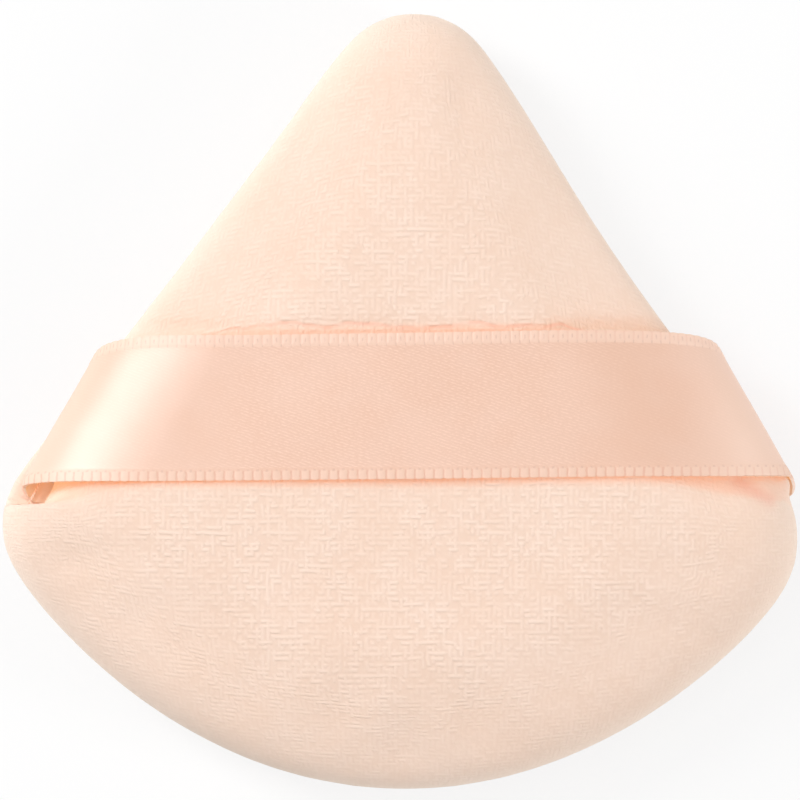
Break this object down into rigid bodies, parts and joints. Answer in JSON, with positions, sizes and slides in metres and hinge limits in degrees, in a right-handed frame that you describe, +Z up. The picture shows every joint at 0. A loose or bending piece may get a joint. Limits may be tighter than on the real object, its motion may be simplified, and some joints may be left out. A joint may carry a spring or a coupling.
{
  "type": "powder puff",
  "caption": "Rounded triangular powder puff of short-pile velour over a foam core, with a satin ribbon strap across the front that lifts for the fingers.",
  "frame": {"origin": "under the middle of the outline, on the surface that the back panel rests on", "axes": "+X to the right along the strap, +Y towards the apex of the triangle, +Z up through the thickness, out of the front panel and the strap"},
  "size_m": [0.07, 0.0682, 0.0135],
  "materials": {
    "velour": "short plush pile, matt",
    "satin": "satin weave with woven edges",
    "foam": "open-cell foam",
    "thread": "spun polyester"
  },
  "bodies": {
    "puff": {"front_cover": "velour", "back_cover": "velour", "foam_core": "foam", "strap_end_left": "satin", "strap_end_right": "satin", "seam_needle_thread": "thread", "seam_bobbin_thread": "thread", "closing_thread": "thread", "backtack_left": "thread", "backtack_right": "thread"},
    "strap": {"strap_band": "satin"}
  },
  "joints": [
    {"name": "strap_lift", "type": "slide", "parent": "puff", "child": "strap", "axis": [0, 0, 1], "range_m": [0, 0.0075], "deforming": ["strap_end_left", "strap_end_right"]}
  ]
}
